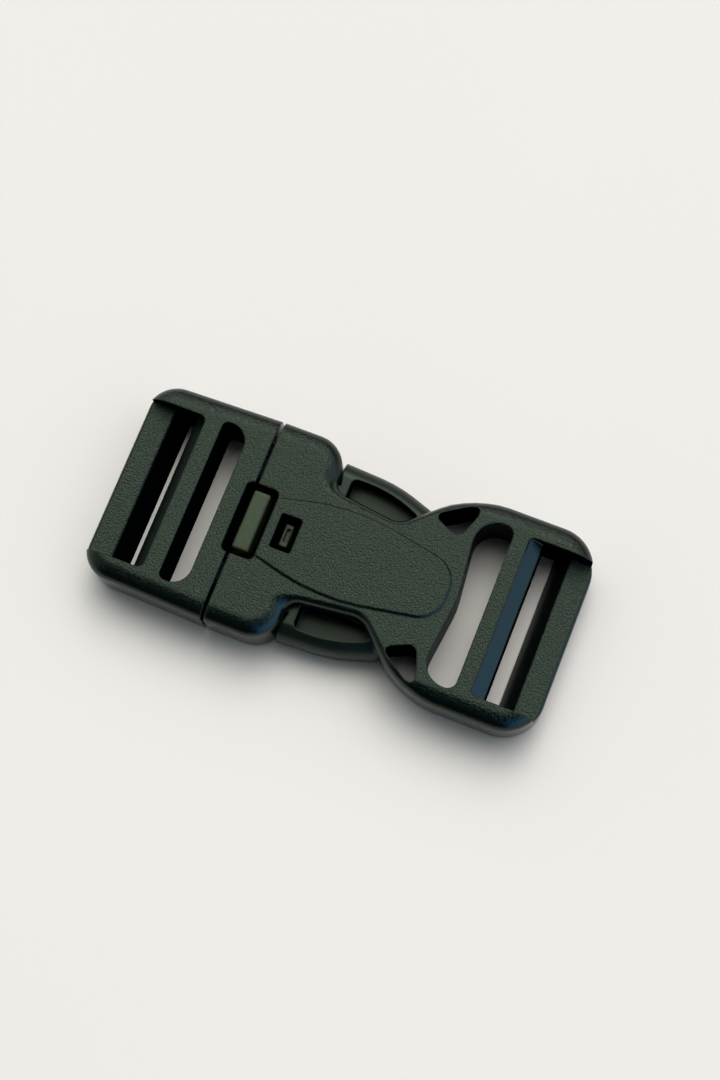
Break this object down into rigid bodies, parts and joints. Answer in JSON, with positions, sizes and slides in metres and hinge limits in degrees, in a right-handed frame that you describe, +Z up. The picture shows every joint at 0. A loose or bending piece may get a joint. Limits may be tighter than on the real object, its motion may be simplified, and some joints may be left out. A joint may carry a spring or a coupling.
{
  "type": "pushbutton buckle",
  "caption": "Fastened side-release buckle with a lever push button between its halves, web slots at both ends, an oval raised pad and a waist with exposed side arms.",
  "frame": {"origin": "middle of the buckle's length and width, on the plane of its flat underside", "axes": "+X from the plug's end to the socket's end, along the webbing; +Y across the webbing; +Z up, out of the face that carries the button"},
  "size_m": [0.0752, 0.034, 0.0099],
  "materials": {
    "frame_plastic": "black moulded acetal, top faces with a fine leather grain, rounded edges smooth",
    "button_plastic": "black moulded acetal, smooth and a little lighter"
  },
  "bodies": {
    "buckle": {"plug": "frame_plastic", "socket": "frame_plastic"},
    "button": {"push_button": "button_plastic"}
  },
  "joints": [
    {"name": "button_pivot", "type": "hinge", "parent": "buckle", "child": "button", "pos_m": [-0.0182, 0, 0.0042], "axis": [0, 1, 0], "range_deg": [0, 9], "stiffness_Nm_per_rad": 0.05}
  ]
}
